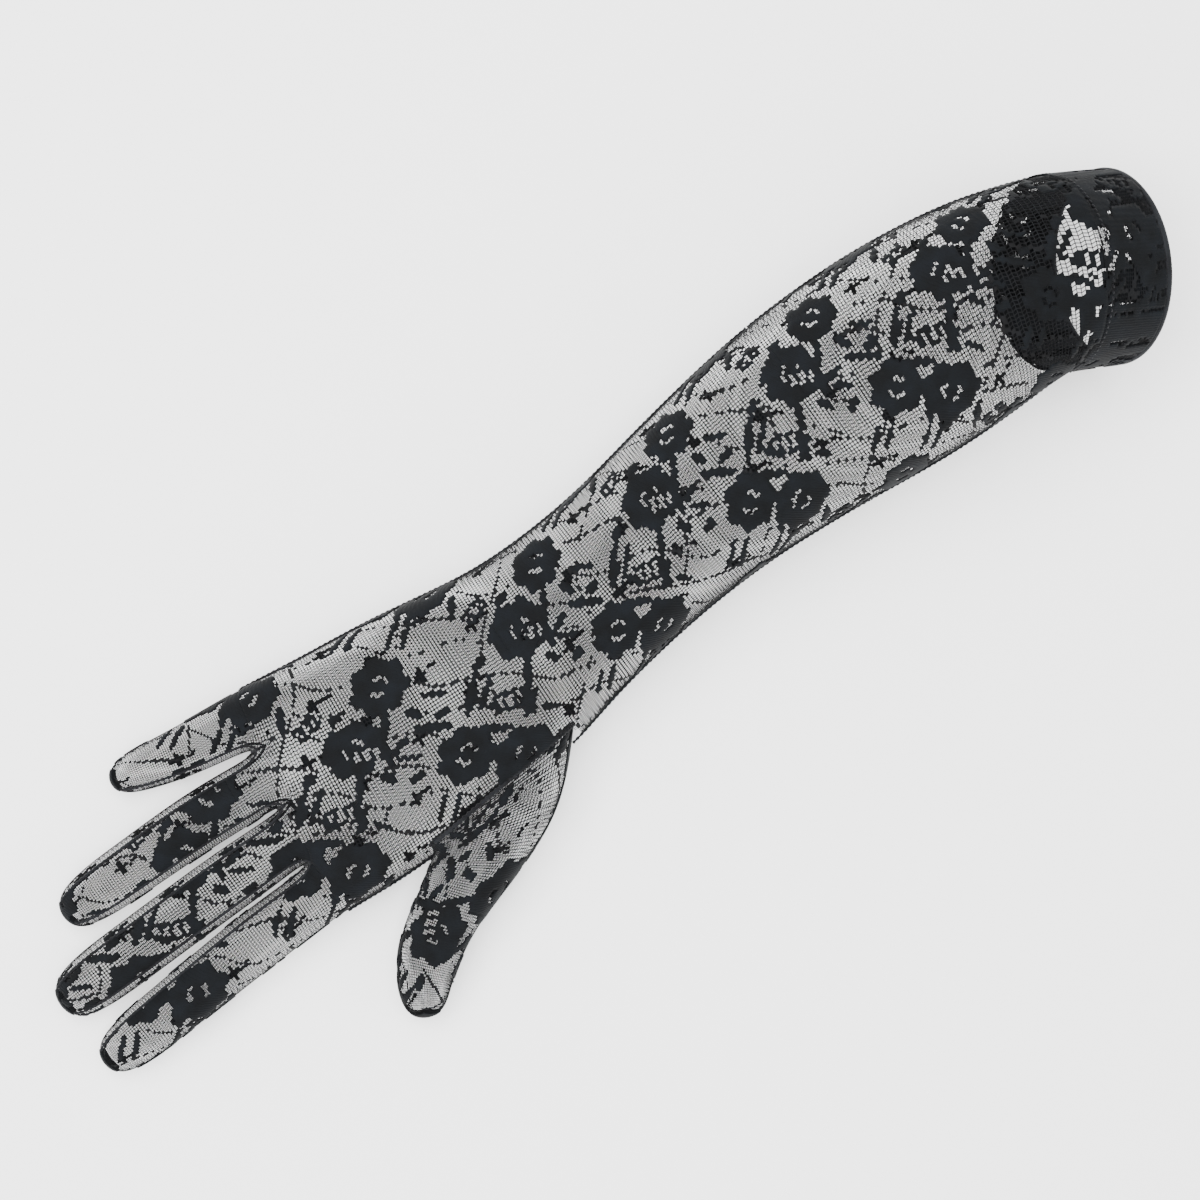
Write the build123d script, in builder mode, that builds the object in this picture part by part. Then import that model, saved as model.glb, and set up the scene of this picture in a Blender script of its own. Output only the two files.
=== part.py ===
from build123d import *
import os
from math import atan2, cos, degrees, radians, sin, tan

os.makedirs("parts", exist_ok=True)

# One right-hand opera glove of stretch lace, in the shape it has when worn, lying palm down.
# Millimetres, +Z up. The fingers point along -X, the open hem faces +X and the thumb is on the
# -Y side. The origin is under the middle of the glove, on the surface it lies on.
# Every limb is a hollow tube lofted through rounded sections, cut into its cloth panels. Where
# a limb bends, an hourglass of free space parts the two bodies, open on the side it bends to.

# ---- driving dimensions -------------------------------------------------------------------
wall = 0.8                  # a lace panel with its raised threads
roundness = 0.92            # corner radius of a section, as a share of half its smaller side
joint_gap = 0.6             # free space between two bodies at a hinge
fold_reach = 60.0           # that space is cut this far to each side of the hinge
seam_width = 2.4            # the overlocked edges inside a seam, across
seam_thick = 0.7            # and how far they stand into the glove

wrist = (-2.1, 19.1)        # where the wrist bends, in plan
sleeve_length = 170.0       # wrist to the start of the hem
hem_aside = 6.5             # the arm leans this far towards the little finger by then
hand_length = 111.0         # wrist to the line where the fingers part and bend
knuckle_aside = -2.0
knuckle_slant = 0.0         # degrees that line leans back towards the little finger
knuckle_height = 21.0
wrist_height = 38.0

hem_radius = 29.2           # outside of the doubled hem
hem_width = 23.0
hem_layer = 0.6             # one layer of the turned hem
hem_heading = -23.0         # the mouth faces this way in plan, degrees from +X
hem_pitch = -24.0           # and leans forward over the elbow
elastic_width = 8.0
elastic_thick = 0.5
edge_width = 2.2            # the rolled edge of the hem, along the arm
edge_proud = 0.2            # how far it stands out of both layers
stitch_width = 1.2
stitch_thick = 0.4

# Bends, in degrees: towards the palm, then away from it.
wrist_bend = (50.0, 50.0)
knuckle_bend = (75.0, 15.0)
finger_bend = (75.0, 2.0)
thumb_bend = (24.0, 8.0)
thumb_tip_bend = (50.0, 2.0)

# Fingers: width at the knuckle; x, y, width and height at the middle joint; x, y of the tip;
# width and height of the fingertip's pad; and the sides that carry a fourchette. Places are
# measured from the middle of the line where the fingers part.
finger_gap = 1.0
tip_height = 11.5
fourchette_height = 7.0
fingers = {
    "index": dict(root=19.0, joint=(-28.0, -30.2, 18.6, 17.5), tip=(-88.0, -36.6),
                  pad=(17.0, 15.0), sides=["little_side"]),
    "middle": dict(root=18.8, joint=(-31.0, -10.6, 19.0, 18.0), tip=(-89.5, -14.2),
                   pad=(19.0, 15.5), sides=["thumb_side", "little_side"]),
    "ring": dict(root=18.2, joint=(-24.0, 10.2, 18.4, 17.0), tip=(-74.0, 8.2),
                 pad=(17.0, 14.5), sides=["thumb_side", "little_side"]),
    "little": dict(root=16.5, joint=(-15.9, 30.7, 15.6, 15.0), tip=(-39.5, 35.0),
                   pad=(14.0, 13.0), sides=["thumb_side"]),
}

# The thumb is set into the side of the hand along a straight seam from near the wrist to the
# web between thumb and hand. Its places are measured from the wrist.
thumb_seam = ((-20.0, -29.0), (-78.0, -36.5))
thumb_seam_level = 13.0
web_clearance = 7.0         # the hand is cut free of the thumb this far past the seam's end
thumb_joint = (-90.0, -59.5)
thumb_joint_level = 9.5
thumb_joint_heading = 213.0
thumb_tip_split = 8.0       # level of the cut between the thumb tip's two panels


# ---- sections -----------------------------------------------------------------------------
def across(x, y, z, heading, pitch=0.0):
    """Plane that cuts a limb square: its x axis is level, its normal runs along the limb."""
    turn, rise = radians(heading), radians(pitch)
    along = (cos(turn) * cos(rise), sin(turn) * cos(rise), sin(rise))
    return Plane(origin=(x, y, z), x_dir=(-sin(turn), cos(turn), 0), z_dir=along)


def section(x, y, heading, width, height, lift=0.0):
    """One rounded section of a limb whose underside stands lift above the surface."""
    return across(x, y, lift + height / 2, heading), width, height


hem_drop = hem_width * sin(radians(-hem_pitch))
hem_level = (hem_radius + edge_proud) * cos(radians(hem_pitch)) + hem_drop
hem_plane = across(wrist[0] + sleeve_length, wrist[1] + hem_aside, hem_level,
                   hem_heading, hem_pitch)
sleeve_end_width = 2 * hem_radius - hem_layer

sleeve_sections = [
    section(wrist[0] - 12, wrist[1] - 2.0, 3, 55.0, wrist_height - 1),
    section(wrist[0] + 6, wrist[1] + 0.8, 5, 52.6, wrist_height + 0.5),
    section(wrist[0] + 24, wrist[1] + 3.6, 7, 52.0, wrist_height + 2.5),
    section(wrist[0] + 0.29 * sleeve_length, wrist[1] + 8.0, 6, 55.0, 46.0),
    section(wrist[0] + 0.49 * sleeve_length, wrist[1] + 11.0, 4, 62.0, 54.0, 1.0),
    section(wrist[0] + 0.68 * sleeve_length, wrist[1] + 11.0, -1, 66.5, 59.0, 3.5),
    section(wrist[0] + 0.84 * sleeve_length, wrist[1] + 10.2, -6, 64.0, 59.0, 7.0),
    (hem_plane, sleeve_end_width, sleeve_end_width),
]

knuckle = (wrist[0] - hand_length, wrist[1] + knuckle_aside)
knuckle_width = sum(f["root"] for f in fingers.values()) + finger_gap * (len(fingers) - 1)
hand_sections = [
    section(wrist[0] + 10, wrist[1] + 1.2, 5, 52.4, wrist_height + 1),
    section(wrist[0] - 4, wrist[1] - 0.6, 3, 53.6, wrist_height - 0.5),
    section(wrist[0] - 22, wrist[1] - 4.0, 0, 60.0, 33.0),
    section(wrist[0] - 0.5 * hand_length, wrist[1] - 3.5, 0, 68.5, 28.0),
    section(wrist[0] - 0.78 * hand_length, wrist[1] - 4.0, 0, 74.0, 25.0),
    section(knuckle[0] - 12, knuckle[1], 0, knuckle_width, knuckle_height),
]

# The thumb's sections fan out from the web, from inside the seam to the tip.
thumb_sections = [
    section(wrist[0] - 49.2, wrist[1] - 30.5, 277, 58.0, 26.0),
    section(wrist[0] - 53.0, wrist[1] - 40.5, 265, 48.0, 25.5),
    section(wrist[0] - 61.0, wrist[1] - 46.0, 247, 38.0, 24.5),
    section(wrist[0] - 72.0, wrist[1] - 50.5, 226, 25.0, 22.5),
    section(wrist[0] - 82.5, wrist[1] - 55.2, 213, 21.5, 20.5),
    section(wrist[0] - 94.5, wrist[1] - 62.0, 214, 21.0, 18.5),
    section(wrist[0] - 102.8, wrist[1] - 70.3, 228, 18.5, 16.5),
    section(wrist[0] - 106.5, wrist[1] - 75.8, 243, 14.5, 13.5, 0.8),
    section(wrist[0] - 107.6, wrist[1] - 81.0, 250, 9.0, 8.5, 2.5),
]


def heading_to(start, end):
    return degrees(atan2(end[1] - start[1], end[0] - start[0])) % 360


def step(point, heading, distance):
    """The plan point that lies a distance along a heading from another."""
    turn = radians(heading)
    return (point[0] + distance * cos(turn), point[1] + distance * sin(turn))


def offset_from(place, offset):
    """The plan point at an offset from a place."""
    return (place[0] + offset[0], place[1] + offset[1])


def finger_sections(root, joint, tip, spec):
    """Sections of one finger, from a little behind its knuckle to the fingertip."""
    joint_size = spec["joint"][2:]
    inner, outer = heading_to(root, joint), heading_to(joint, tip)
    near_root, pad_back, nail_back = 6.0, 13.0, 4.5
    pad_width, pad_height = spec["pad"]
    return [
        section(*step(root, inner, -near_root), inner, spec["root"], knuckle_height),
        section(*step(root, inner, near_root), inner, spec["root"], knuckle_height - 1),
        section(*joint, (inner + outer) / 2, *joint_size),
        section(*step(tip, outer, -pad_back), outer, pad_width, pad_height),
        section(*step(tip, outer, -nail_back), outer, 0.84 * pad_width, tip_height, 0.4),
        section(*tip, outer, 0.45 * pad_width, 0.5 * tip_height, 0.3 * tip_height),
    ]


# ---- solids that the panels are cut from --------------------------------------------------
def limb(sections, inset=0.0, end_inset=0.0):
    """Solid limb, inset on all sides; end_inset also draws its last section back."""
    with BuildPart() as body:
        for index, (plane, width, height) in enumerate(sections):
            draw_back = end_inset if index == len(sections) - 1 else 0.0
            wide, high = width - 2 * inset, height - 2 * inset
            with BuildSketch(plane.offset(-draw_back)):
                RectangleRounded(wide, high, roundness * min(wide, high) / 2)
        loft(ruled=True)
    return body.part


def skin(sections, closed=False, outside=0.0, thick=wall):
    """Hollow limb with one wall, set in by outside; a closed one has a wall over its tip."""
    with BuildPart() as shell:
        add(limb(sections, outside))
        add(limb(sections, outside + thick, thick if closed else 0.0), mode=Mode.SUBTRACT)
    return shell.part


def fold_space(hinge, bend, half_length=fold_reach):
    """Free space about a hinge, which opens below for one bend and above for the other."""
    half = joint_gap / 2
    below, above = [half + fold_reach * tan(radians(angle / 2)) for angle in bend]
    side_view = Plane(origin=hinge.origin, x_dir=hinge.z_dir, z_dir=-hinge.x_dir)
    with BuildPart() as space:
        with BuildSketch(side_view):
            with BuildLine():
                Polyline((-below, -fold_reach), (-half, 0), (-above, fold_reach),
                         (above, fold_reach), (half, 0), (below, -fold_reach), close=True)
            make_face()
        extrude(amount=half_length, both=True)
    return space.part


def turned_over(plane):
    return Plane(origin=plane.origin, x_dir=plane.x_dir, z_dir=-plane.z_dir)


def middle_plane(start, end):
    """Plane through two points on a limb's middle line, level across it, facing up."""
    along = Vector(*end) - Vector(*start)
    facing = 1 if along.X > 0 else -1
    return Plane(origin=start, x_dir=along, z_dir=Vector(-along.Z, 0, along.X) * facing)


def save_panel(name, stock, keep=(), spaces=()):
    """Cut one panel out of a limb's skin, on the facing side of each plane, and write it."""
    with BuildPart() as panel:
        add(stock)
        for plane in keep:
            split(bisect_by=plane, keep=Keep.TOP)
        for space in spaces:
            add(space, mode=Mode.SUBTRACT)
    panel.part.label = name
    export_step(panel.part, f"parts/{name}.step")


# ---- folds --------------------------------------------------------------------------------
wrist_hinge = across(*wrist, wrist_height / 2, 180)
wrist_space = fold_space(wrist_hinge, wrist_bend)

knuckle_hinge = across(*knuckle, knuckle_height / 2, 180 - knuckle_slant)
knuckle_space = fold_space(knuckle_hinge, knuckle_bend)

seam_back, seam_web = [offset_from(wrist, end) for end in thumb_seam]
seam_middle = ((seam_back[0] + seam_web[0]) / 2, (seam_back[1] + seam_web[1]) / 2)
thumb_hinge = across(*seam_middle, thumb_seam_level, heading_to(seam_back, seam_web) + 90)
seam_length = (Vector(*seam_web) - Vector(*seam_back)).length
thumb_cut = Plane(origin=thumb_hinge.origin - thumb_hinge.x_dir * web_clearance / 2,
                  x_dir=thumb_hinge.x_dir, z_dir=thumb_hinge.z_dir)
thumb_cut_length = seam_length + web_clearance
thumb_space = fold_space(thumb_cut, thumb_bend, thumb_cut_length / 2 + joint_gap)

thumb_joint_place = (*offset_from(wrist, thumb_joint), thumb_joint_level)
thumb_tip_hinge = across(*thumb_joint_place, thumb_joint_heading)
thumb_tip_space = fold_space(thumb_tip_hinge, thumb_tip_bend)

little_finger_side = Plane(origin=(*wrist, 0), z_dir=(0, 1, 0))


def save_side_seam(name, sections, middle, keep, spaces):
    """Overlocked edges of the two panels, inside the glove along the little finger's side."""
    edges = skin(sections, outside=wall, thick=seam_thick)
    low, high = middle.offset(-seam_width / 2), turned_over(middle.offset(seam_width / 2))
    save_panel(name, edges, [*keep, little_finger_side, low, high], spaces)


# ---- sleeve -------------------------------------------------------------------------------
sleeve_skin = skin(sleeve_sections)
sleeve_middle = middle_plane((*wrist, wrist_height / 2), hem_plane.origin)
sleeve_side = turned_over(wrist_hinge)
save_panel("sleeve_back", sleeve_skin, [sleeve_side, sleeve_middle], [wrist_space])
save_panel("sleeve_palm", sleeve_skin, [sleeve_side, turned_over(sleeve_middle)], [wrist_space])
save_side_seam("sleeve_side_seam", sleeve_sections, sleeve_middle, [sleeve_side], [wrist_space])

# ---- hem ----------------------------------------------------------------------------------
hem_band = hem_width - edge_width


def save_ring(name, start, length, outer_radius, thick, rounded=0.0):
    """One ring of the hem, from start along the arm; the rolled edge has a rounded outside."""
    with BuildPart() as ring:
        with BuildSketch(hem_plane.offset(start)):
            Circle(outer_radius)
            Circle(outer_radius - thick, mode=Mode.SUBTRACT)
        extrude(amount=length)
        if rounded:
            mouth = ring.faces().sort_by(Axis(hem_plane.origin, hem_plane.z_dir))[-1]
            fillet(mouth.edges(), rounded)
    ring.part.label = name
    export_step(ring.part, f"parts/{name}.step")


elastic_radius = hem_radius - hem_layer
inner_layer_radius = elastic_radius - elastic_thick
hem_inner_radius = inner_layer_radius - hem_layer
save_ring("hem_outer_layer", 0, hem_band, hem_radius, hem_layer)
save_ring("hem_elastic", hem_band - elastic_width, elastic_width, elastic_radius, elastic_thick)
save_ring("hem_turned_layer", 0, hem_band, inner_layer_radius, hem_layer)
save_ring("hem_rolled_edge", hem_band, edge_width, hem_radius + edge_proud,
          hem_radius + edge_proud - hem_inner_radius, rounded=0.8)
save_ring("hem_stitching", stitch_width, stitch_width, hem_radius + stitch_thick, stitch_thick)
print("hem bore radius", hem_inner_radius, "hem plane", hem_plane.origin, hem_plane.z_dir)

# ---- hand ---------------------------------------------------------------------------------
with BuildPart(thumb_cut) as thumb_hole:
    Box(thumb_cut_length, 2 * wrist_height, wrist_height,
        align=(Align.CENTER, Align.CENTER, Align.MIN))
with BuildPart() as hand_shell:
    add(skin(hand_sections))
    add(thumb_hole.part, mode=Mode.SUBTRACT)
    add(limb(thumb_sections, -joint_gap), mode=Mode.SUBTRACT)
hand_skin = hand_shell.part
hand_middle = middle_plane((*knuckle, knuckle_height / 2), (*wrist, wrist_height / 2))
hand_ends = [wrist_hinge, turned_over(knuckle_hinge)]
hand_spaces = [wrist_space, knuckle_space, thumb_space]
save_panel("hand_back", hand_skin, [*hand_ends, hand_middle], hand_spaces)
save_panel("hand_palm", hand_skin, [*hand_ends, turned_over(hand_middle)], hand_spaces)
save_side_seam("hand_side_seam", hand_sections, hand_middle, hand_ends, hand_spaces)

# ---- thumb --------------------------------------------------------------------------------
thumb_skin = skin(thumb_sections, closed=True)
thumb_base = [thumb_hinge, turned_over(thumb_tip_hinge)]
thumb_base_spaces = [thumb_space, thumb_tip_space]
thumb_middle = middle_plane(thumb_joint_place, (*seam_middle, thumb_seam_level))
save_panel("thumb_base_back", thumb_skin, [*thumb_base, thumb_middle], thumb_base_spaces)
save_panel("thumb_base_palm", thumb_skin, [*thumb_base, turned_over(thumb_middle)],
           thumb_base_spaces)
thumb_tip_middle = Plane.XY.offset(thumb_tip_split)
save_panel("thumb_tip_back", thumb_skin, [thumb_tip_hinge, thumb_tip_middle], [thumb_tip_space])
save_panel("thumb_tip_palm", thumb_skin, [thumb_tip_hinge, turned_over(thumb_tip_middle)],
           [thumb_tip_space])


# ---- fingers ------------------------------------------------------------------------------
def fourchette_block(centre, heading, side):
    """The space of one side strip: beside the finger's middle line, about half way up."""
    reach = 90.0
    beside = Align.MIN if side == "little_side" else Align.MAX
    turn = radians(heading)
    with BuildPart(Plane(origin=centre, x_dir=(-cos(turn), -sin(turn), 0))) as block:
        Box(2 * reach, reach, fourchette_height, align=(Align.CENTER, beside, Align.CENTER))
    return block.part


def save_finger_part(name, stock, ends, spaces, centre, heading, sides):
    """Back, palm and fourchettes of one length of a finger."""
    blocks = {side: fourchette_block(centre, heading, side) for side in sides}
    waist = Plane(origin=centre)
    save_panel(f"{name}_back", stock, [*ends, waist], [*spaces, *blocks.values()])
    save_panel(f"{name}_palm", stock, [*ends, turned_over(waist)], [*spaces, *blocks.values()])
    for side, block in blocks.items():
        with BuildPart() as strip_stock:
            add(stock)
            add(block, mode=Mode.INTERSECT)
        save_panel(f"{name}_fourchette_{side}", strip_stock.part, ends, spaces)


along_line = -knuckle_width / 2
for finger, spec in fingers.items():
    middle = along_line + spec["root"] / 2
    along_line += spec["root"] + finger_gap
    slant = radians(knuckle_slant)
    root = (knuckle[0] + middle * sin(slant), knuckle[1] + middle * cos(slant))
    joint, joint_height = offset_from(knuckle, spec["joint"]), spec["joint"][3]
    tip = offset_from(knuckle, spec["tip"])
    inner, outer = heading_to(root, joint), heading_to(joint, tip)
    hinge = across(*joint, joint_height / 2, (inner + outer) / 2)
    space = fold_space(hinge, finger_bend)
    finger_skin = skin(finger_sections(root, joint, tip, spec), closed=True)
    inner_centre = ((root[0] + joint[0]) / 2, (root[1] + joint[1]) / 2,
                    (knuckle_height + joint_height) / 4)
    outer_centre = (*joint, (joint_height + spec["pad"][1]) / 4)
    save_finger_part(f"{finger}_inner", finger_skin, [knuckle_hinge, turned_over(hinge)],
                     [knuckle_space, space], inner_centre, inner, spec["sides"])
    save_finger_part(f"{finger}_outer", finger_skin, [hinge], [space], outer_centre, outer,
                     spec["sides"])
    print(finger, "hinge", hinge.origin, hinge.x_dir)
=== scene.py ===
import math

import bmesh
import bpy
import numpy as np
from mathutils import Matrix, Vector


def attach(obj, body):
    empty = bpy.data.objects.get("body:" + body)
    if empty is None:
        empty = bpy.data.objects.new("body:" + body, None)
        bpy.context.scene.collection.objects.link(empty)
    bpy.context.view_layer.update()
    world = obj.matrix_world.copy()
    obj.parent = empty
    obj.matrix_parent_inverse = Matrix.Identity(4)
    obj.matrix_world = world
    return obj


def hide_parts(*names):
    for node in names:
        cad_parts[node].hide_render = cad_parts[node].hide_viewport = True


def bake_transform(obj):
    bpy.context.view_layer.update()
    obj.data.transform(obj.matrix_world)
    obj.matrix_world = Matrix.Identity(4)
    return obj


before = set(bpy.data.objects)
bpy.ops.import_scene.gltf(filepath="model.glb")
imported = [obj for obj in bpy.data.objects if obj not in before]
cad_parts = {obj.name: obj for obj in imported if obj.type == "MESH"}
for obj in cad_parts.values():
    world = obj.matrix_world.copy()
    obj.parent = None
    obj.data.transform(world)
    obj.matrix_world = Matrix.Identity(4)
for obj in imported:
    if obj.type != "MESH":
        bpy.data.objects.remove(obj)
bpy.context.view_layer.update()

# ---- camera, floor and light --------------------------------------------------------------
# The glove is seen straight from above on a pale floor, turned so that the arm comes in from
# the upper right. One broad soft light from above and two weaker ones from the sides.
MM = 0.001
turned = math.radians(33)
camera = bpy.data.objects.new("camera", bpy.data.cameras.new("camera"))
camera.data.lens = 77.5
camera.data.clip_start = 0.01
camera.location = (4.4 * MM, 17.1 * MM, 0.80)
camera.rotation_euler = (0, 0, -turned)
bpy.context.collection.objects.link(camera)
bpy.context.scene.camera = camera

floor_mesh = bmesh.new()
bmesh.ops.create_grid(floor_mesh, x_segments=1, y_segments=1, size=3.0)
floor = bpy.data.objects.new("floor", bpy.data.meshes.new("floor"))
floor_mesh.to_mesh(floor.data)
floor_mesh.free()
floor.data.transform(Matrix.Translation((0, 0, -0.4 * MM)))
bpy.context.collection.objects.link(floor)
paper = bpy.data.materials.new("paper")
paper.use_nodes = True
nodes, links = paper.node_tree.nodes, paper.node_tree.links
shader = nodes["Principled BSDF"]
place = nodes.new("ShaderNodeTexCoord")
grain = nodes.new("ShaderNodeTexNoise")
grain.inputs["Scale"].default_value = 60
tint = nodes.new("ShaderNodeValToRGB")
tint.color_ramp.elements[0].color = (0.955, 0.957, 0.96, 1)
tint.color_ramp.elements[1].color = (0.975, 0.975, 0.975, 1)
links.new(place.outputs["Object"], grain.inputs["Vector"])
links.new(grain.outputs["Fac"], tint.inputs["Fac"])
links.new(tint.outputs["Color"], shader.inputs["Base Color"])
shader.inputs["Roughness"].default_value = 0.9
floor.data.materials.append(paper)

# name, place, width and power of each lamp
LAMPS = [("light_top", (-0.15, 0.25, 1.3), 1.4, 58),
         ("light_left", (-1.1, -0.5, 0.7), 0.8, 6),
         ("light_right", (0.9, -0.9, 0.8), 0.8, 5)]
for name, spot, size, power in LAMPS:
    lamp = bpy.data.objects.new(name, bpy.data.lights.new(name, "AREA"))
    lamp.data.size = size
    lamp.data.energy = power
    lamp.location = spot
    aim = Vector((0, 0, 0.02)) - Vector(spot)
    lamp.rotation_euler = aim.to_track_quat("-Z", "Y").to_euler()
    bpy.context.collection.objects.link(lamp)
world = bpy.data.worlds.new("studio")
world.use_nodes = True
world.node_tree.nodes["Background"].inputs["Color"].default_value = (1, 1, 1, 1)
world.node_tree.nodes["Background"].inputs["Strength"].default_value = 1.45
bpy.context.scene.world = world

# ---- yarn materials -----------------------------------------------------------------------
# Three black textile yarns: fine net thread, the thicker clothwork of the flowers, and the
# sewing thread of seams and hem. All are soft, slightly bluish black with a faint sheen.


def yarn(name, dark, light, rough, sheen, scale, depth):
    """Black yarn: mottled colour, twisted fibres as relief, and a soft sheen."""
    made = bpy.data.materials.new(name)
    made.use_nodes = True
    nodes, links = made.node_tree.nodes, made.node_tree.links
    shader = nodes["Principled BSDF"]
    place = nodes.new("ShaderNodeTexCoord")
    mottle = nodes.new("ShaderNodeTexNoise")
    mottle.inputs["Scale"].default_value = 160
    mottle.inputs["Detail"].default_value = 6
    ramp = nodes.new("ShaderNodeValToRGB")
    ramp.color_ramp.elements[0].position = 0.35
    ramp.color_ramp.elements[0].color = (*dark, 1)
    ramp.color_ramp.elements[1].position = 0.7
    ramp.color_ramp.elements[1].color = (*light, 1)
    fibre = nodes.new("ShaderNodeTexWave")
    fibre.bands_direction = "DIAGONAL"
    fibre.inputs["Scale"].default_value = scale
    fibre.inputs["Distortion"].default_value = 3.0
    fibre.inputs["Detail"].default_value = 3.0
    fibre.inputs["Detail Scale"].default_value = 2.0
    bump = nodes.new("ShaderNodeBump")
    bump.inputs["Strength"].default_value = 0.6
    bump.inputs["Distance"].default_value = depth
    wear = nodes.new("ShaderNodeMapRange")
    wear.inputs["To Min"].default_value = rough
    wear.inputs["To Max"].default_value = min(1.0, rough + 0.2)
    links.new(place.outputs["Object"], mottle.inputs["Vector"])
    links.new(place.outputs["Object"], fibre.inputs["Vector"])
    links.new(mottle.outputs["Fac"], ramp.inputs["Fac"])
    links.new(ramp.outputs["Color"], shader.inputs["Base Color"])
    links.new(mottle.outputs["Fac"], wear.inputs["Value"])
    links.new(wear.outputs["Result"], shader.inputs["Roughness"])
    links.new(fibre.outputs["Fac"], bump.inputs["Height"])
    links.new(bump.outputs["Normal"], shader.inputs["Normal"])
    shader.inputs["Specular IOR Level"].default_value = 0.12
    shader.inputs["Sheen Weight"].default_value = sheen
    shader.inputs["Sheen Roughness"].default_value = 0.5
    return made


net_thread = yarn("net_thread", dark=(0.0012, 0.0012, 0.0015), light=(0.004, 0.0045, 0.0055),
                  rough=0.65, sheen=0.01, scale=900, depth=0.06 * MM)
clothwork = yarn("clothwork", dark=(0.0006, 0.0009, 0.0013), light=(0.003, 0.004, 0.0055),
                 rough=0.75, sheen=0.012, scale=420, depth=0.15 * MM)
sewing = yarn("sewing_thread", dark=(0.002, 0.002, 0.003), light=(0.008, 0.009, 0.011),
              rough=0.6, sheen=0.05, scale=600, depth=0.1 * MM)

# ---- cloth of the arm, hand and fingers ---------------------------------------------------
# The glove is stretch lace, pulled smooth by what it covers. It is laid out as one coarse cage:
# a ring of ten points goes down the arm and the hand to the webs, where four loops leave it for
# the fingers, and the thumb is a tube of its own. Subdividing the cage gives the smooth cloth.

# centre x, y, z, heading, pitch, width and height of the arm's sections, in mm
ARM = [(167.9, 25.6, 36.2, -23, -24, 57.8, 57.8), (156, 28.2, 37.6, -14, -12, 61, 58.5),
       (140.7, 29.3, 36.5, -6, 0, 64, 59), (113.5, 30.1, 33, -1, 0, 66.5, 59),
       (81.2, 30.1, 28, 4, 0, 62, 54), (47.2, 27.1, 23, 6, 0, 55, 46),
       (21.9, 22.7, 20.3, 7, 0, 52, 40.5), (3.9, 19.9, 19.3, 5, 0, 52.6, 38.5),
       (-6.1, 18.5, 18.8, 3, 0, 53.6, 37.5), (-24.1, 15.1, 16.5, 0, 0, 60, 33),
       (-57.6, 15.6, 14, 0, 0, 68.5, 28), (-88.7, 15.4, 12.5, -4, 0, 73.5, 25),
       (-108.2, 17.1, 10.7, -7, 0, 74.5, 21.4)]
ROUNDNESS = 0.92  # corner radius of a section, as a share of half its smaller side
COLUMNS = 10
OUTER_COLUMN = 0.951  # sideways places of the columns, as shares of half the width
INNER_COLUMN = 0.588
SIDE_COLUMNS = (4.5, 9.5)  # the little finger's side and the thumb's side
ARM_ROWS = 17
CLOTH_SHARE = 0.985  # cloth around a ring, as a share of the ring's cage
# the cloth is parted into pieces here, in mm along X, clear of the wrist's bend
UPPER_END, FOREARM_END, WRIST_END = 88, 24, -26
# numbers of the pieces; the four fingers' roots and tips count on from ROOTS and TIPS
UPPER, FOREARM, WRIST, HAND, ROOTS, TIPS, THUMB_ROOT, THUMB_TIP = 0, 1, 2, 3, 4, 8, 12, 13


def resample(stations, count):
    """Evenly spaced sections along a row of stations."""
    rows = np.array(stations, float)
    steps = np.linalg.norm(np.diff(rows[:, :3], axis=0), axis=1)
    far = np.concatenate([[0], np.cumsum(steps)])
    at = np.linspace(0, far[-1], count + 1)
    return np.stack([np.interp(at, far, rows[:, i]) for i in range(rows.shape[1])], axis=1)


def frame_of(x, y, z, heading, pitch=0.0):
    """Centre, sideways and upwards directions of a section whose normal has this heading."""
    turn, rise = math.radians(heading), math.radians(pitch)
    along = Vector((math.cos(turn) * math.cos(rise), math.sin(turn) * math.cos(rise), math.sin(rise)))
    side = Vector((-math.sin(turn), math.cos(turn), 0))
    return Vector((x, y, z)), side, along.cross(side)


def control(points):
    """Cage points whose subdivided ring passes through the given points."""
    aim = np.array(points, float)
    cage = aim.copy()
    for _ in range(40):
        cage += aim - (np.roll(cage, 1, 0) + 4 * cage + np.roll(cage, -1, 0)) / 6
    return cage


def rounded(offset, width, height):
    """Height of a rounded section above its middle, at a sideways offset."""
    radius = ROUNDNESS * min(width, height) / 2
    flat = width / 2 - radius
    past = max(0.0, abs(offset) - flat)
    return height / 2 - radius + math.sqrt(max(0.0, radius * radius - past * past))


def arm_ring(station, spread):
    """Ten cage points around a section, back from thumb side to little finger, then palm."""
    x, y, z, heading, pitch, width, height = station
    centre, side, up = frame_of(x, y, z, heading, pitch)
    outer, inner = OUTER_COLUMN - 0.015 * spread, INNER_COLUMN - 0.085 * spread
    flat = [(share * width / 2) for share in (-outer, -inner, 0, inner, outer)]
    ring = [(offset, rounded(offset, width, height)) for offset in flat]
    ring += [(offset, -rise) for offset, rise in reversed(ring)]
    return [(centre + side * a + up * b) * MM for a, b in control(ring)]


def start_ring(cage, places):
    """A closed ring of as many points, moved to their places."""
    ring = bmesh.ops.create_circle(cage, segments=len(places), radius=1)["verts"]
    for point, place in zip(ring, places):
        point.co = place
    return ring


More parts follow.
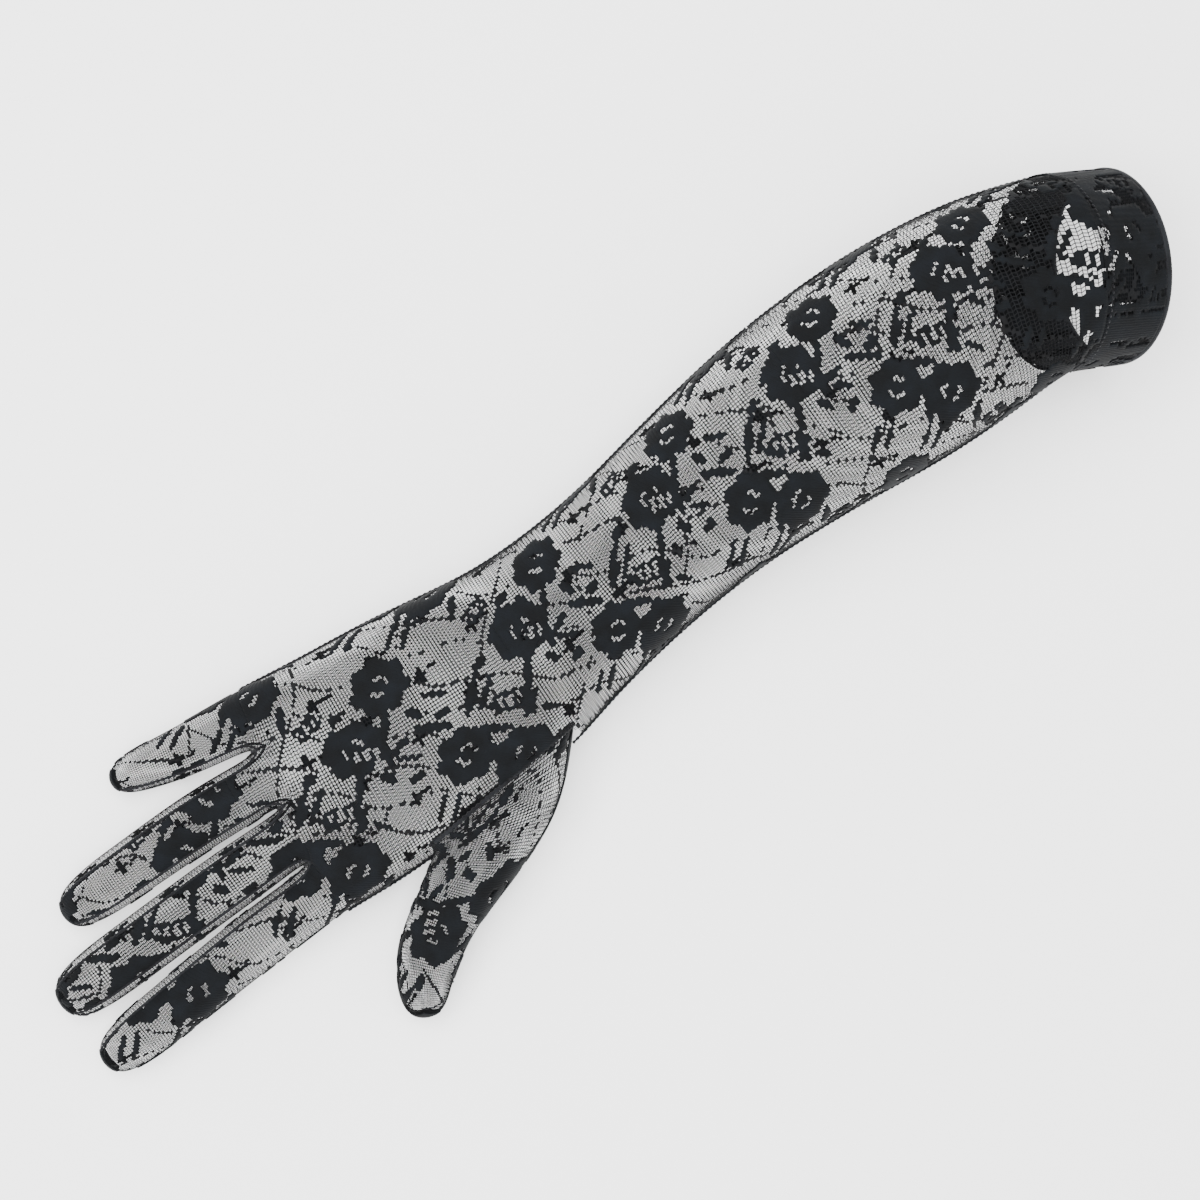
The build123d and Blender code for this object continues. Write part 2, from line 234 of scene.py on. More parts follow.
def next_ring(cage, ring, places, zone, corners):
    """Extrude a ring to new places.

    corners gives each corner's place on the cloth, in mm along and around, and its row and
    column in the cage. Rows count from 0 down the arm, from 100, 200, 300 and 400 along the
    fingers and from 500 along the thumb, and the row of a closing cap ends in 90.
    """
    edges = [cage.edges.get((ring[j], ring[(j + 1) % len(ring)])) for j in range(len(ring))]
    made = bmesh.ops.extrude_edge_only(cage, edges=edges)["geom"]
    fresh = [v for v in made if isinstance(v, bmesh.types.BMVert)]
    follow = {}
    for v in fresh:
        for e in v.link_edges:
            if e.other_vert(v) in ring:
                follow[e.other_vert(v)] = v
    new = [follow[v] for v in ring]
    for point, place in zip(new, places):
        point.co = place
    cloth, grid = cage.loops.layers.uv["cloth"], cage.loops.layers.uv["grid"]
    for j in range(len(ring)):
        k = (j + 1) % len(ring)
        face = next(f for f in cage.edges.get((new[j], new[k])).link_faces if ring[j] in f.verts)
        face.material_index = zone
        for loop in face.loops:
            later = loop.vert in (new[j], new[k])
            column = j if loop.vert in (ring[j], new[j]) else j + 1
            loop[cloth].uv, loop[grid].uv = corners(j, column, later)
    return new


cage = bmesh.new()
cage.loops.layers.uv.new("cloth")
cage.loops.layers.uv.new("grid")
arm = resample(ARM, ARM_ROWS)
spreads = np.clip((30 - arm[:, 0]) / 90, 0, 1)  # the columns even out from the wrist on
rings = [arm_ring(station, spread) for station, spread in zip(arm, spreads)]
gauges = []
for places in rings:
    girth = sum((places[j] - places[j - 1]).length for j in range(COLUMNS)) / MM
    gauges.append(CLOTH_SHARE * girth / COLUMNS)

ring = start_ring(cage, rings[0])
for s in range(1, len(arm)):
    x = (arm[s - 1][0] + arm[s][0]) / 2
    zone = UPPER if x > UPPER_END else FOREARM if x > FOREARM_END else WRIST if x > WRIST_END else HAND

    def arm_corners(j, column, later, s=s):
        row = s if later else s - 1
        around = (column - 2 if j <= 4 else column - 2 - COLUMNS) * gauges[row]
        point = rings[row][column % COLUMNS]
        return (point.x / MM, around), (row, column)

    ring = next_ring(cage, ring, rings[s], zone, arm_corners)

# fingers: centre of the middle joint, width and height there; tip; width and height of the
# pad; heading of the root
FINGERS = {"index": ((-141.1, -13.1, 18.6, 17.5), (-201.1, -19.5), (17.0, 15.0), 186),
           "middle": ((-144.1, 6.5, 19.0, 18.0), (-202.6, 2.9), (19.0, 15.5), 183),
           "ring": ((-137.1, 27.3, 18.4, 17.0), (-187.1, 25.3), (17.0, 14.5), 180),
           "little": ((-129.0, 47.8, 15.6, 15.0), (-152.6, 52.1), (14.0, 13.0), 172)}
for i in (1, 2, 3):
    bmesh.ops.contextual_create(cage, geom=[ring[i], ring[9 - i]])
web_ring = ring
finger_loops = [(i, i + 1, 8 - i, 9 - i) for i in range(4)]  # columns where each finger leaves
web_places = [sum((web_ring[j].co for j in around), Vector()) / 4 for around in finger_loops]
FINGER_GAUGE = 15.2  # cloth between two columns of a finger, in mm
CORNER_SHARE = 0.545  # half a square cage's side that smooths to a finger of side 1
PALM_SHIFT, FOURCHETTE_SHIFT = 33.0, 20.0  # these strips take the pattern from another place
PAD_LENGTH = 12
for i, (name, (joint, tip, pad, heading)) in enumerate(FINGERS.items()):
    loop = [web_ring[j] for j in finger_loops[i]]
    root = sum((v.co for v in loop), Vector()) / 4 / MM
    joint_at, tip_at = Vector(joint[:2]), Vector(tip)
    outer_way = (tip_at - joint_at).normalized()
    turn = math.degrees(math.atan2(*(joint_at - root.xy).yx)) % 360
    end_turn = math.degrees(math.atan2(*outer_way.yx)) % 360
    mid_turn = (turn + end_turn) / 2
    pad_at = tip_at - outer_way * PAD_LENGTH
    stations = [(root.x, root.y, 10.5, heading, 0, 18.0, 20.6),
                (*joint_at, joint[3] / 2, mid_turn, 0, joint[2], joint[3]),
                (*pad_at, pad[1] / 2, end_turn, 0, *pad)]
    over = (*(tip_at + outer_way * 0.4), 6.0, end_turn, 0, 0.66 * pad[0], 8.0)
    rows = [*resample(stations[:3], 5 if name != "little" else 3)[1:], np.array(over)]
    before, split = root, Vector((*joint_at, 0)) * 0.5 + Vector((root.x, root.y, 0)) * 0.5
    side_offset = (i - 1.5) * gauges[-1]
    last_x = root.x
    for n, row in enumerate(rows):
        centre, side, up = frame_of(*row[:4])
        side = -side
        wide, high = row[5] * CORNER_SHARE, row[6] * CORNER_SHARE
        corners_at = [(-wide, high), (wide, high), (wide, -high), (-wide, -high)]
        places = [(centre + side * a + Vector((0, 0, 1)) * b) * MM for a, b in corners_at]
        here = (before.xy + centre.xy) / 2
        zone = (ROOTS if (here - split.xy).dot(joint_at - root.xy) < 0 else TIPS) + i

        def finger_corners(j, column, later, n=n, x=centre.x, last_x=last_x, i=i):
            gauge = gauges[-1] if (n == 0 and not later) else FINGER_GAUGE
            across = (column - 0.5) * gauge
            if j == 2:
                across = (2.5 - column) * gauge + PALM_SHIFT
            if j == 3 and i > 0:
                across += FOURCHETTE_SHIFT
            if j == 3 and i == 0:
                across = (column - 4.5) * gauge
            return (x if later else last_x, side_offset + across), (100 * (i + 1) + n + later, column)

        loop = next_ring(cage, loop, places, zone, finger_corners)
        before, last_x = centre, centre.x
    cap = bmesh.ops.contextual_create(cage, geom=loop)["faces"][0]
    cap.material_index = TIPS + i
    cloth, grid = cage.loops.layers.uv["cloth"], cage.loops.layers.uv["grid"]
    for corner in cap.loops:
        corner[cloth].uv = (corner.vert.co.x / MM - 2, side_offset + corner.vert.co.z / MM)
        corner[grid].uv = (100 * (i + 1) + 90, 0.5)

# centre, heading, width and height of the thumb's sections, from its seam in the hand
THUMB = [(-51.1, -13.7, 13.0, 277.4, 58.6, 25.0), (-55.1, -21.4, 12.8, 265, 48, 25.5),
         (-63.1, -26.9, 12.2, 247, 38, 24.5), (-74.1, -31.4, 11.2, 226, 25, 22.5),
         (-84.6, -36.1, 10.2, 213, 21.5, 20.5), (-96.6, -42.9, 9.3, 214, 21, 18.5),
         (-104.9, -51.2, 8.3, 228, 18.5, 16.5)]
THUMB_END = (-110.4, -61.8, 6.8, 248, 11.5, 9.0)
thumb_rows = [*resample(THUMB, 5), np.array(THUMB_END)]
THUMB_JOINT = Vector((-92.1, -40.4, 9.5))
THUMB_AT = (-82, 4)  # where the pattern's rose lies over the thumb's joint, along and around
THUMB_GAUGE = 0.27  # cloth between two columns of the thumb, as a share of width plus height
THUMB_FLAT = 0.84  # of half the width: where the outer columns stand
places_of_thumb, thumb_far = [], []
far = 0.0
for n, (x, y, z, heading, width, height) in enumerate(thumb_rows):
    centre, side, up = frame_of(x, y, z, heading)
    wide = THUMB_FLAT * width / 2
    ring6 = [(-wide, rounded(wide, width, height)), (0, height / 2), (wide, rounded(wide, width, height))]
    ring6 += [(a, -b) for a, b in reversed(ring6)]
    places_of_thumb.append([(centre + side * a + up * b) * MM for a, b in control(ring6)])
    if n:
        far += math.dist(thumb_rows[n - 1][:2], (x, y))
    thumb_far.append(far)
joint_far = float(np.interp(THUMB_JOINT.x, [r[0] for r in thumb_rows][::-1], thumb_far[::-1]))
loop = start_ring(cage, places_of_thumb[0])
for n in range(1, len(places_of_thumb)):

    def thumb_corners(j, column, later, n=n):
        row = n if later else n - 1
        width, height = thumb_rows[row][4:6]
        around = (column - 1) * THUMB_GAUGE * (width + height)
        return (THUMB_AT[0] - thumb_far[row] + joint_far, THUMB_AT[1] + around), (500 + row, column)

    zone = THUMB_ROOT if thumb_far[n] < joint_far - 8 else THUMB_TIP
    loop = next_ring(cage, loop, places_of_thumb[n], zone, thumb_corners)
cap = bmesh.ops.contextual_create(cage, geom=loop)["faces"][0]
cap.material_index = THUMB_TIP
cloth, grid = cage.loops.layers.uv["cloth"], cage.loops.layers.uv["grid"]
for corner in cap.loops:
    corner[cloth].uv = (THUMB_AT[0] - thumb_far[-1] + joint_far - 2, corner.vert.co.z / MM)
    corner[grid].uv = (590, 1)
bmesh.ops.recalc_face_normals(cage, faces=cage.faces)


def smooth_cloth(cage, levels):
    """The subdivided cage as a new bmesh in metres."""
    mesh = bpy.data.meshes.new("cage")
    cage.to_mesh(mesh)
    for _ in range(THUMB_TIP + 1):
        mesh.materials.append(None)
    holder = bpy.data.objects.new("cage", mesh)
    bpy.context.collection.objects.link(holder)
    rounding = holder.modifiers.new("rounding", "SUBSURF")
    rounding.levels = rounding.render_levels = levels
    rounding.uv_smooth = "NONE"
    fine = bpy.data.meshes.new_from_object(holder.evaluated_get(bpy.context.evaluated_depsgraph_get()))
    cloth = bmesh.new()
    cloth.from_mesh(fine)
    bpy.data.objects.remove(holder)
    bpy.data.meshes.remove(fine)
    return cloth


LEVELS = 4
cloth = smooth_cloth(cage, LEVELS)
cage.free()
for v in cloth.verts:
    v.co.z = max(v.co.z, 0.35 * MM)  # flat where the glove lies on the surface, clear of its pads

# ---- lace ---------------------------------------------------------------------------------
# The lace is a net of fine thread with roses, sprigs and lines worked closed in it. Each cell of
# the cloth is open net, a thread line or clothwork, by the floral pattern at its place: open
# cells keep a narrow rim of thread, and clothwork stands up as pads.
CELLS = 2 ** LEVELS  # cells along each side of a cage face
REPEAT_AROUND = 66.0
FLOWER_REPEAT = 54.0
# where the pattern's repeats begin along the cloth, closer together over the hand
REPEAT_AT = ([-205, -144, -82, -20, 33, 86, 137, 186], [-3, -2, -1, 0, 1, 2, 3, 4])
# two pairs of flowers in each repeat: along (share of a repeat), around (mm), turned over
FLOWERS = [(0.0, 0.0, 1), (0.27, 12.0, 1), (0.45, 44.0, 0), (0.69, 33.0, 0)]
# sprigs beside each flower: centre, angle, half length, half width, hollow
SPRIGS_A = [(-4.4, -11.5, 62, 5.2, 1.2, 0), (-8.0, -19.0, 80, 4.6, 1.3, 0),
            (-12.4, -15.4, -20, 4.6, 2.9, 1),
            (-16.4, -8.6, 42, 5.6, 0.95, 0), (-19.6, -5.6, 42, 5.4, 0.95, 0), (-14.3, -0.5, 20, 2.3, 1.5, 0),
            (11.0, -12.0, -33, 3.6, 0.9, 0), (10.4, -18.6, 10, 2.3, 1.5, 0), (3.7, -13.5, -60, 2.6, 1.3, 0)]
SPRIGS_C = [(-3.6, 13.4, -33, 5.6, 1.3, 0), (-13.4, 14.6, 15, 2.8, 1.2, 0), (8.5, 13.0, 40, 4.0, 1.2, 0),
            (12.5, 8.0, -50, 3.0, 1.0, 0), (-9.5, -12.0, 50, 4.6, 1.0, 0), (-13.0, -9.4, 50, 4.2, 0.9, 0),
            (4.5, -13.0, 70, 4.4, 1.2, 0), (9.0, -19.0, 20, 3.8, 2.5, 1)]


def lace_class(u, v):
    """2 for clothwork, 1 for a thread line, 0 for open net, at places in mm on the cloth."""
    repeat = np.interp(u, *REPEAT_AT)
    sway = v - np.interp(u, [-110, -82, 137, 190], [3, 4, 15, 16])
    kind = np.zeros(len(u), int)
    slope = (u * 0.53 + v * 0.85 + 1.5 * np.sin(u * 0.21) + 1.2 * np.sin(v * 0.33)) % 9.4
    kind[slope < 0.62] = 1
    cross = (u * 0.85 - v * 0.53 + 2.4 * np.sin(v * 0.17)) % 31.0
    kind[cross < 0.6] = 1
    for along, around, plain in FLOWERS:
        n, m = np.round(repeat - along), np.round((sway - around) / REPEAT_AROUND)
        x = (repeat - along - n) * FLOWER_REPEAT
        y = sway - around - m * REPEAT_AROUND
        out, angle = np.hypot(x, y * 0.97), np.arctan2(y, x)
        wobble = np.sin(n * 12.9 + m * 7.3 + along * 40)
        for a, b, turned, half_long, half_wide, hollow in (SPRIGS_A if plain else SPRIGS_C):
            c, s = math.cos(math.radians(turned)), math.sin(math.radians(turned))
            p = (x - a) * c + (y - b) * s
            q = (y - b) * c - (x - a) * s
            if hollow:
                inside = (abs(p) < half_long) & (abs(q) < half_wide)
                core = (abs(p) < half_long - 1.1) & (abs(q) < half_wide - 1.1)
                kind[inside] = 2
                kind[inside & core & (abs((p % 3.0) - 1.5) > 0.55)] = 0
            else:
                taper = 1 - 0.45 * (p / half_long) ** 2
                kind[(abs(p) < half_long) & (abs(q) < half_wide * taper)] = 2
        kind[(out < 10.6) & (out >= 8.6) & (kind == 1)] = 0
        kind[out < 8.5 + 0.75 * np.cos(7 * angle + wobble * 3) + 0.4 * wobble] = 2
        kind[(out > 2.0) & (out < 3.2) & (np.cos(2 * angle + wobble * 2) > -0.35)] = 0
    return kind


BLOSSOMS_APART, BLOSSOM_ROWS = 22.0, 15.0


def plain_class(u, v):
    """The palm's lighter lace: net with small four-petalled blossoms in offset rows."""
    kind = np.zeros(len(u), int)
    row = np.round(v / BLOSSOM_ROWS)
    half = BLOSSOMS_APART / 2
    x = (u + half * (row % 2) + half) % BLOSSOMS_APART - half
    y = v - row * BLOSSOM_ROWS
    angle = np.arctan2(y, x)
    kind[np.hypot(x, y) < 1.9 + 0.8 * np.cos(4 * angle)] = 2
    kind[(abs(x - 4.6) < 1.7) & (abs(y - 0.4 * (x - 4.6)) < 0.6)] = 2
    return kind


NET_SLANT = 0.2  # each row of the net moves this share of a cell sideways


def slant_net(cloth):
    """Shift the rows of the net to and fro, so that its cells slant."""
    grid = cloth.loops.layers.uv["grid"]
    rows = {}
    for f in cloth.faces:
        for corner in f.loops:
            at = corner[grid].uv
            rows[corner.vert] = (round(at.x * CELLS), round(at.y * CELLS))
    moves = []
    for v, (row, column) in rows.items():
        for e in v.link_edges:
            other = e.other_vert(v)
            if not v.is_boundary and rows[other] == (row, column + 1):
                moves.append((v, (other.co - v.co) * (NET_SLANT if row % 2 else -NET_SLANT)))
    for v, move in moves:
        v.co += move


def classes_of(cloth, gauge_rows):
    """Pattern class of each cell, from its place on the cloth."""
    uv, grid = cloth.loops.layers.uv["cloth"], cloth.loops.layers.uv["grid"]
    rows = []
    for f in cloth.faces:
        n = len(f.loops)
        rows.append([sum(l[uv].uv.x for l in f.loops) / n, sum(l[uv].uv.y for l in f.loops) / n,
                     sum(l[grid].uv.x for l in f.loops) / n, sum(l[grid].uv.y for l in f.loops) / n])
    rows = np.array(rows)
    gauge = np.interp(rows[:, 2], range(len(gauge_rows)), gauge_rows)
    past_seam = (rows[:, 2] < 90) & (rows[:, 3] > SIDE_COLUMNS[0]) & (rows[:, 3] < 5.0)
    around = rows[:, 1] - np.where(past_seam, COLUMNS * gauge, 0)
    along, part, column = rows[:, 0], rows[:, 2] // 100, rows[:, 3]
    # the arm's back, the thumb's back, each finger's back and the outer sides of the hand
    back = np.where(part == 0, (column < SIDE_COLUMNS[0]) | (column > SIDE_COLUMNS[1]),
                    np.where(part == 5, (column < 2.6) | (column > 5.4), column < 1.0))
    back |= (part == 1) & (column > 3.5) | (part == 4) & (column < 1.5)
    kinds = np.where(back, lace_class(along, around), plain_class(along, around))
    kinds[(rows[:, 2] % 100) > 80] = 2
    return kinds


THREAD = 0.1  # half a thread's width, as a share of a cell's side
THREAD_ROUND = 0.1 * MM  # how far a cell's rim sinks from its threads' middles
SIDE_STEP = 0.15 * MM  # cells whose sides agree to this step are rimmed together
LINE_RIM, LINE_RISE = 0.22 * MM, 0.05 * MM
PAD = 0.3 * MM  # how far the clothwork stands up


def weave(cloth, kinds, zone, name, body=None):
    """One piece of lace: the cells of one zone as real threads and raised clothwork."""
    piece = cloth.copy()
    piece.faces.ensure_lookup_table()
    drop = [f for f in piece.faces if f.material_index != zone]
    keep_kind = {f: kinds[f.index] for f in piece.faces}
    open_cells = [f for f in piece.faces if f.material_index == zone and keep_kind[f] == 0]
    lines = [f for f in piece.faces if f.material_index == zone and keep_kind[f] == 1]
    dense = [f for f in piece.faces if f.material_index == zone and keep_kind[f] == 2]
    bmesh.ops.delete(piece, geom=drop, context="FACES")
    for f in piece.faces:
        f.material_index = 0
        f.smooth = True
    for f in dense:
        f.material_index = 1
    sizes = {}
    for f in open_cells:
        sizes.setdefault(max(2, round(math.sqrt(f.calc_area()) / SIDE_STEP)), []).append(f)
    for size, faces in sizes.items():
        rim = bmesh.ops.inset_individual(piece, faces=faces, thickness=THREAD * size * SIDE_STEP,
                                         depth=-THREAD_ROUND, use_even_offset=True)["faces"]
        for f in rim:
            f.smooth = True
    bmesh.ops.inset_individual(piece, faces=lines, thickness=LINE_RIM, depth=LINE_RISE,
                               use_even_offset=True)
    bmesh.ops.delete(piece, geom=open_cells, context="FACES_ONLY")
    risen = bmesh.ops.extrude_face_region(piece, geom=dense, use_keep_orig=True)["geom"]
    for v in [v for v in risen if isinstance(v, bmesh.types.BMVert)]:
        v.co += v.normal * PAD
    mesh = bpy.data.meshes.new(name)
    piece.to_mesh(mesh)
    piece.free()
    mesh.materials.append(net_thread)
    mesh.materials.append(clothwork)
    made = bpy.data.objects.new(name, mesh)
    bpy.context.collection.objects.link(made)
    if body:
        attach(made, body)
    return made


# the seams run along columns of the cloth, which are found before the net is slanted
FOURCHETTE_COLUMNS = {1: (1, 2), 2: (0, 1, 2, 3), 3: (0, 1, 2, 3), 4: (0, 3)}
SEAM_RISE, WEB_RISE = 0.25 * MM, 0.2 * MM
SEAM_LINES = {}
grid = cloth.loops.layers.uv["grid"]
for f in cloth.faces:
    for corner in f.loops:
        row, column = corner[grid].uv
        part = int(row // 100)
        at, out = corner.vert.co, corner.vert.normal
        for line in SIDE_COLUMNS if part == 0 else FOURCHETTE_COLUMNS.get(part, ()):
            if abs(column - line) < 0.01 and row % 100 < 88:
                SEAM_LINES.setdefault((f.material_index, line), {})[round(row, 3)] = at + out * SEAM_RISE
        if part == 5 and abs(row - 500) < 0.001:
            SEAM_LINES.setdefault(("thumb", 0), {})[round(column, 3)] = at.copy()
        if 1 <= part <= 3 and abs(row % 100) < 0.001 and 1 <= column <= 2:
            SEAM_LINES.setdefault(("web", part), {})[round(column, 3)] = at + out * WEB_RISE
slant_net(cloth)

# the hand's cloth is cut away where the thumb is set in, along a straight seam
THUMB_HOLE = 28.6 * MM  # half its length
seam_way = Vector((-58.0, -7.5, 0)).normalized()
seam_out = Vector((-seam_way.y, seam_way.x, 0))
seam_mid = Vector((-51.1, -13.65, 13)) * MM
cut = []
for f in cloth.faces:
    if f.material_index in (HAND, WRIST):
        off = f.calc_center_median() - seam_mid
        if off.dot(seam_out) > 0 and abs(off.dot(seam_way)) < THUMB_HOLE:
            cut.append(f)
bmesh.ops.delete(cloth, geom=cut, context="FACES")
cloth.faces.index_update()
cloth.faces.ensure_lookup_table()
kinds = classes_of(cloth, gauges)

# ---- sleeve, wrist and hand ---------------------------------------------------------------
# In the real glove the lace of the arm and the hand is one tube, sewn from a back and a palm.
# It is parted here only so that the sleeve and the hand each go with a body, the wrist between.
sleeve_upper = weave(cloth, kinds, UPPER, "sleeve_lace_upper", "sleeve")
weave(cloth, kinds, FOREARM, "sleeve_lace_forearm", "sleeve")
wrist_lace = weave(cloth, kinds, WRIST, "wrist_lace")
hand_lace = weave(cloth, kinds, HAND, "hand_lace", "hand")
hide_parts("sleeve_back", "sleeve_palm")
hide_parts("hand_back", "hand_palm")
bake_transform(wrist_lace)

# ---- fingers ------------------------------------------------------------------------------
# A finger's back and palm are cut in one with the hand's, and fourchettes are let in between
# them along its sides. Its root piece runs from the web, its tip from halfway to the middle joint.
finger_ways = {}
for i, (name, (joint, tip, pad, heading)) in enumerate(FINGERS.items()):
    inner = weave(cloth, kinds, ROOTS + i, f"{name}_root_lace")
    outer = weave(cloth, kinds, TIPS + i, f"{name}_tip_lace")
    strips = [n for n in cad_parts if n.startswith(name)]
    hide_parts(*[n for n in strips if "_inner_" in n])
    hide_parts(*[n for n in strips if "_outer_" in n])
    web = web_places[i]
    joint_at = Vector((joint[0], joint[1], joint[3] / 2)) * MM
    way = (joint_at - web).normalized()
    finger_ways[name] = web, joint_at, way
    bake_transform(inner)
    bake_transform(outer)

# ---- thumb --------------------------------------------------------------------------------
# The thumb is a piece of its own, sewn round the hole in the side of the hand. Its root piece
# runs from that seam outwards, its tip piece from 8 mm short of its own joint.
thumb_root = weave(cloth, kinds, THUMB_ROOT, "thumb_root_lace")
thumb_tip = weave(cloth, kinds, THUMB_TIP, "thumb_tip_lace")
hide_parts("thumb_base_back", "thumb_base_palm")
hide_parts("thumb_tip_back", "thumb_tip_palm")
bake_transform(thumb_root)
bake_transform(thumb_tip)

# ---- seams --------------------------------------------------------------------------------
# Overlocked seams stand up as fine cords of stitches: both sides of the arm and hand, both
# edges of each fourchette, the three webs, and the ring where the thumb is set in.


CORD, THUMB_CORD = 0.42 * MM, 0.7 * MM
STITCH_STEP = 0.45 * MM  # four steps make one stitch, two thick and two thin
THICK, THIN = 1.15, 0.7


def seam(name, lines, radius=CORD):
    """Cords of stitches along lines of points, each stitch a swelling of the cord."""
    curve = bpy.data.curves.new(name, "CURVE")
    curve.dimensions = "3D"
    curve.bevel_depth = radius
    curve.bevel_resolution = 1
    curve.use_fill_caps = True
    for line in lines:
        points = [line[key] for key in sorted(line)]
        far = np.concatenate([[0], np.cumsum([(b - a).length for a, b in zip(points, points[1:])])])
        at = np.arange(0, far[-1], STITCH_STEP)
        rows = np.stack([np.interp(at, far, [p[i] for p in points]) for i in range(3)], axis=1)
        rows[:, 2] = np.maximum(rows[:, 2], THICK * radius)
        spline = curve.splines.new("POLY")
        spline.points.add(len(rows) - 1)
        for n, (point, row) in enumerate(zip(spline.points, rows)):
            point.co = (*row, 1)
            point.radius = THICK if n % 4 < 2 else THIN
    holder = bpy.data.objects.new(name, curve)
    bpy.context.collection.objects.link(holder)
    mesh = bpy.data.meshes.new_from_object(holder.evaluated_get(bpy.context.evaluated_depsgraph_get()))
    bpy.data.objects.remove(holder)
    mesh.materials.clear()
    mesh.materials.append(sewing)
    for polygon in mesh.polygons:
        polygon.use_smooth = True
    made = bpy.data.objects.new(name, mesh)
    bpy.context.collection.objects.link(made)
    return made


sleeve_seam = seam("sleeve_side_seams", [SEAM_LINES[z, k] for z in (UPPER, FOREARM) for k in SIDE_COLUMNS])
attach(sleeve_seam, "sleeve")
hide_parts("sleeve_side_seam")
wrist_seam = seam("wrist_side_seams", [SEAM_LINES[WRIST, k] for k in SIDE_COLUMNS])
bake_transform(wrist_seam)
# on the thumb's side the hand's seam stops at the thumb's hole and goes on past it
SEAM_STOP = 29 * MM
thumb_side = {}
for key, point in SEAM_LINES[HAND, SIDE_COLUMNS[1]].items():
    off = point - seam_mid
    if off.dot(seam_out) < 0 or abs(off.dot(seam_way)) > SEAM_STOP:
        thumb_side.setdefault(off.dot(seam_way) > 0, {})[key] = point
hand_seam = seam("hand_side_seams", [SEAM_LINES[HAND, SIDE_COLUMNS[0]], *thumb_side.values(),
                                     *[SEAM_LINES["web", n] for n in (1, 2, 3)]])
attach(hand_seam, "hand")
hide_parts("hand_side_seam")
thumb_ring = seam("thumb_seam", [SEAM_LINES["thumb", 0]], THUMB_CORD)
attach(thumb_ring, "hand")
for i, (name, (web, joint_at, way)) in enumerate(finger_ways.items()):
    inner = seam(f"{name}_root_seams", [SEAM_LINES[key] for key in SEAM_LINES if key[0] == ROOTS + i])
    outer = seam(f"{name}_tip_seams", [SEAM_LINES[key] for key in SEAM_LINES if key[0] == TIPS + i])
    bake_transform(inner)
    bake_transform(outer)

# ---- hem ----------------------------------------------------------------------------------
# The lace is turned under and doubled for 21 mm with a flat elastic between the two layers,
# sewn down by a row of stitches at its start and closed by a rolled edge at the mouth.
hem_at = Vector((167.9, 25.6, 36.2132))
_, hem_side, hem_up = frame_of(*ARM[0][:5])
hem_out = hem_side.cross(hem_up)
HEM_WAVE = 0.25  # the layers stand off each other by a little
HEM_ANGLES = [math.radians(198 - 36 * j) for j in range(COLUMNS)]
HEM_ROWS = (-0.6, 10.0, 20.9)  # along the arm's way out, from the start of the hem
HEM_COLUMN = 0.628  # cloth between two columns, as a share of the radius
OUTER_RADIUS, TURNED_RADIUS = 29.15, 27.75


def hem_point(radius, angle, far):
    """A place on the hem, far along it from its start."""
    return (hem_at + hem_out * far + (hem_side * math.cos(angle) + hem_up * math.sin(angle)) * radius) * MM


def hem_layer(name, radius, shift):
    """One layer of the doubled lace, its pattern shifted from the other layer's."""
    cage = bmesh.new()
    cage.loops.layers.uv.new("cloth")
    cage.loops.layers.uv.new("grid")
    rows = []
    for far in HEM_ROWS:
        places = [hem_point(radius + HEM_WAVE * math.sin(3.1 * j + far), a, far)
                  for j, a in enumerate(HEM_ANGLES)]
        rows.append([Vector(p) for p in control(places)])
    ring = start_ring(cage, rows[0])
    for n in (1, 2):

        def hem_corners(j, column, later, n=n):
            row = n - 1 + later
            around = (column - 2) * radius * HEM_COLUMN
            return (168 + 10.5 * row + shift[0], around + shift[1]), (row, column)

        ring = next_ring(cage, ring, rows[n], 0, hem_corners)
    bmesh.ops.recalc_face_normals(cage, faces=cage.faces)
    cloth = smooth_cloth(cage, LEVELS)
    cage.free()
    slant_net(cloth)
    cloth.faces.ensure_lookup_table()
    uv = cloth.loops.layers.uv["cloth"]
    spots = np.array([[sum(c[uv].uv[i] for c in f.loops) / len(f.loops) for i in (0, 1)]
                      for f in cloth.faces])
    kinds = lace_class(spots[:, 0], spots[:, 1])
    for along, around in ((19, -41), (-9, 24)):  # the gathered pattern is closer here
        kinds = np.maximum(kinds, lace_class(spots[:, 0] + along, spots[:, 1] + around))
    made = weave(cloth, kinds, 0, name, "sleeve")
    return made


outer_layer = hem_layer("hem_outer_lace", OUTER_RADIUS, (0, 0))
turned_layer = hem_layer("hem_turned_lace", TURNED_RADIUS, (26, 16))
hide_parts("hem_outer_layer")
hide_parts("hem_turned_layer")


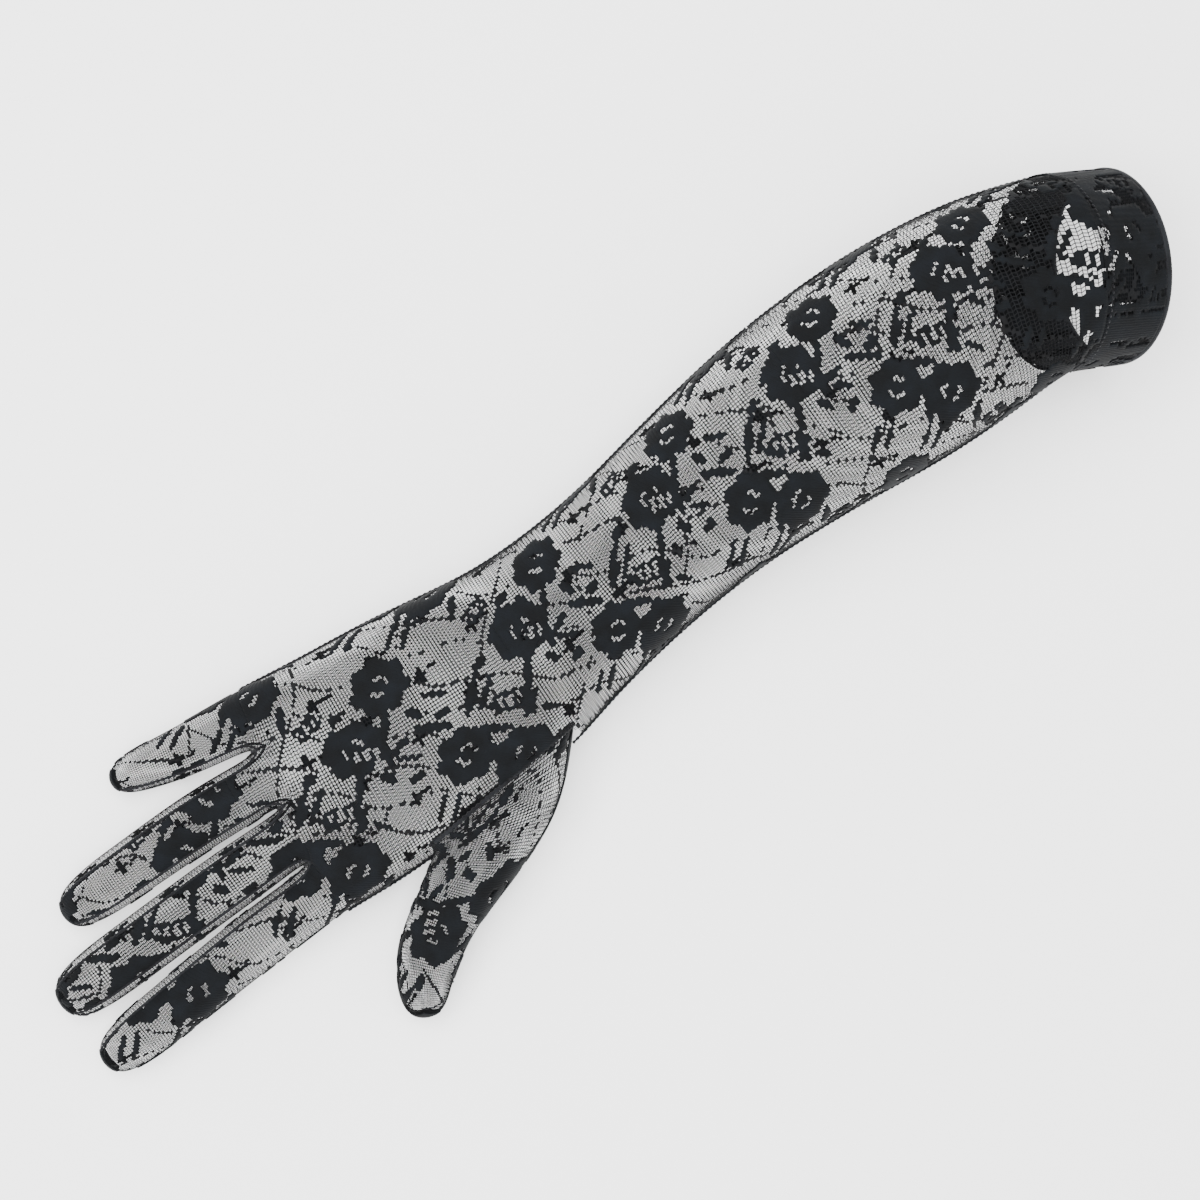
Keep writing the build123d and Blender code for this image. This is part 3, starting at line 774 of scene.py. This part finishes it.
def hem_ring(name, profile, steps, node, material):
    """A ring spun from a closed profile of (radius, far) corners around the arm's way out."""
    ring = bmesh.new()
    corners = bmesh.ops.create_circle(ring, segments=len(profile), radius=1)["verts"]
    for corner, (radius, far) in zip(corners, profile):
        corner.co = hem_point(radius, 0, far)
    bmesh.ops.spin(ring, geom=ring.verts[:] + ring.edges[:], cent=hem_at * MM, axis=hem_out,
                   dvec=(0, 0, 0), angle=2 * math.pi, steps=steps, use_merge=True)
    bmesh.ops.recalc_face_normals(ring, faces=ring.faces)
    for f in ring.faces:
        f.smooth = True
    made = bpy.data.objects.new(name, bpy.data.meshes.new(name))
    ring.to_mesh(made.data)
    ring.free()
    made.data.materials.append(material)
    bpy.context.collection.objects.link(made)
    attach(made, "sleeve")
    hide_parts(node)


roll = [(28.55 + 0.95 * math.cos(a), 21.9 + 1.15 * math.sin(a))
        for a in np.linspace(0, 2 * math.pi, 13)[:-1]]
hem_ring("hem_rolled_rim", roll, 120, "hem_rolled_edge", sewing)
band = [(28.2, 12.9), (28.75, 12.9), (28.75, 20.6), (28.2, 20.6)]
hem_ring("hem_elastic_band", band, 96, "hem_elastic", clothwork)

STITCHES = 104
STITCH_RADIUS, STITCH_FAR = 29.45, 1.8
stitches = bmesh.new()
for n in range(STITCHES):
    turn = math.radians(360 / STITCHES * n)
    made = bmesh.ops.create_icosphere(stitches, subdivisions=1, radius=1)["verts"]
    along = (hem_up * math.cos(turn) - hem_side * math.sin(turn) + hem_out * 0.45).normalized()
    out = hem_side * math.cos(turn) + hem_up * math.sin(turn)
    basis = Matrix((along, out, along.cross(out))).transposed().to_4x4()
    size = Matrix.Diagonal((0.72 * MM, 0.3 * MM, 0.34 * MM, 1))
    bmesh.ops.transform(stitches, verts=made,
                        matrix=Matrix.Translation(hem_point(STITCH_RADIUS, turn, STITCH_FAR)) @ basis @ size)
for f in stitches.faces:
    f.smooth = True
stitch_row = bpy.data.objects.new("hem_stitches", bpy.data.meshes.new("hem_stitches"))
stitches.to_mesh(stitch_row.data)
stitches.free()
stitch_row.data.materials.append(sewing)
bpy.context.collection.objects.link(stitch_row)
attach(stitch_row, "sleeve")
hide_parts("hem_stitching")
